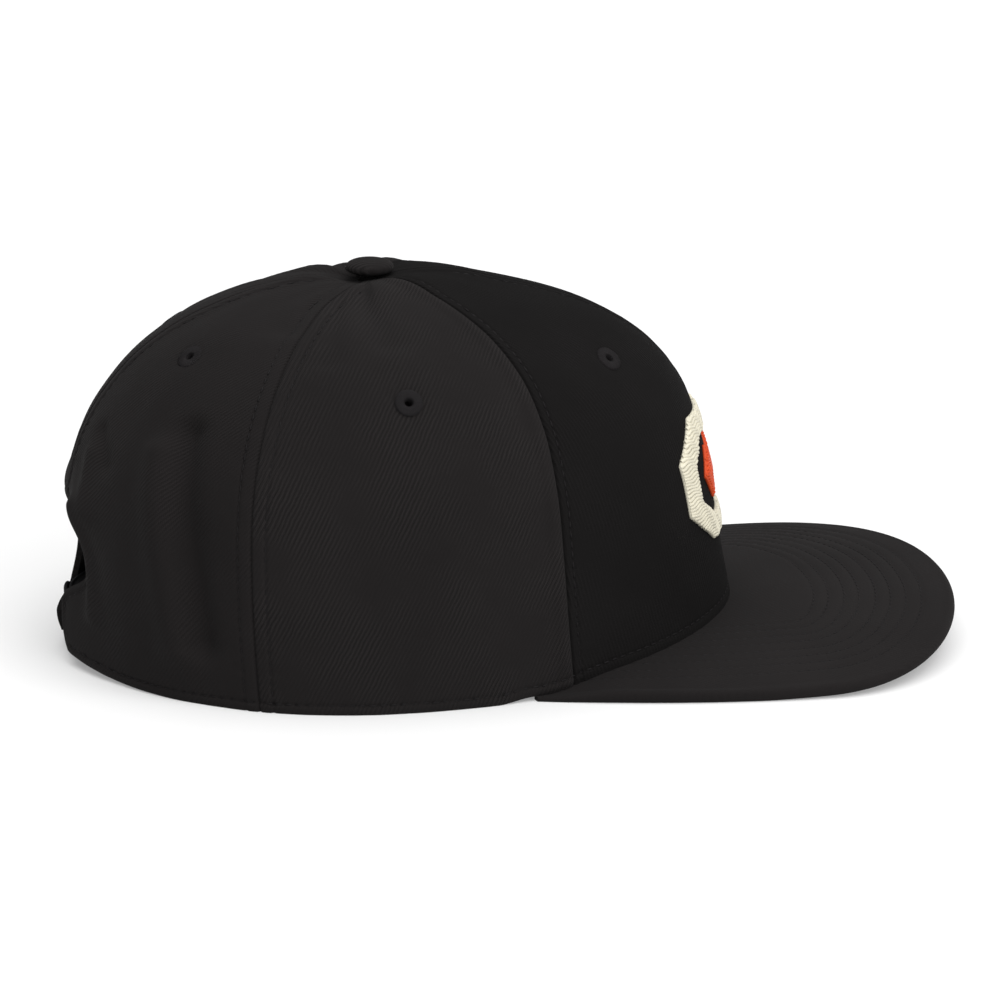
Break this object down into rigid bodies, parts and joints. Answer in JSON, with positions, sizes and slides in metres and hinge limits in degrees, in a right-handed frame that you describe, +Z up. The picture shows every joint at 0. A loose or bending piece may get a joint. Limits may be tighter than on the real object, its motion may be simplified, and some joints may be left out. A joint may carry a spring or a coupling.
{
  "type": "snapback cap",
  "caption": "Cloth snapback cap with a panelled crown, a flat stitched peak, a covered button, sewn eyelets and a plastic snap strap across the rear arch.",
  "frame": {"origin": "on the surface that the cap rests on, under the middle of its overall length and width", "axes": "-Y the way the wearer faces, -X the wearer's right, +Z up"},
  "size_m": [0.1718, 0.2794, 0.1211],
  "materials": {
    "front_cloth": "stiffened charcoal twill",
    "soft_cloth": "charcoal twill",
    "peak_cloth": "charcoal twill over a stiff board",
    "dark_thread": "charcoal embroidery thread",
    "strap_plastic": "black moulded plastic",
    "cream_thread": "cream embroidery thread",
    "orange_thread": "orange embroidery thread"
  },
  "bodies": {
    "root": {"crown_front_right": "front_cloth", "crown_front_left": "front_cloth", "crown_side_right": "soft_cloth", "crown_side_left": "soft_cloth", "crown_rear_right": "soft_cloth", "crown_rear_left": "soft_cloth", "eyelet_front_right": "dark_thread", "eyelet_front_left": "dark_thread", "eyelet_side_right": "dark_thread", "eyelet_side_left": "dark_thread", "eyelet_rear_right": "dark_thread", "eyelet_rear_left": "dark_thread", "peak": "peak_cloth", "crown_button": "soft_cloth", "snap_strap_right": "strap_plastic", "snap_strap_left": "strap_plastic", "badge_border": "cream_thread", "badge_diamond_right": "orange_thread", "badge_diamond_middle": "orange_thread", "badge_diamond_left": "orange_thread"}
  },
  "joints": []
}
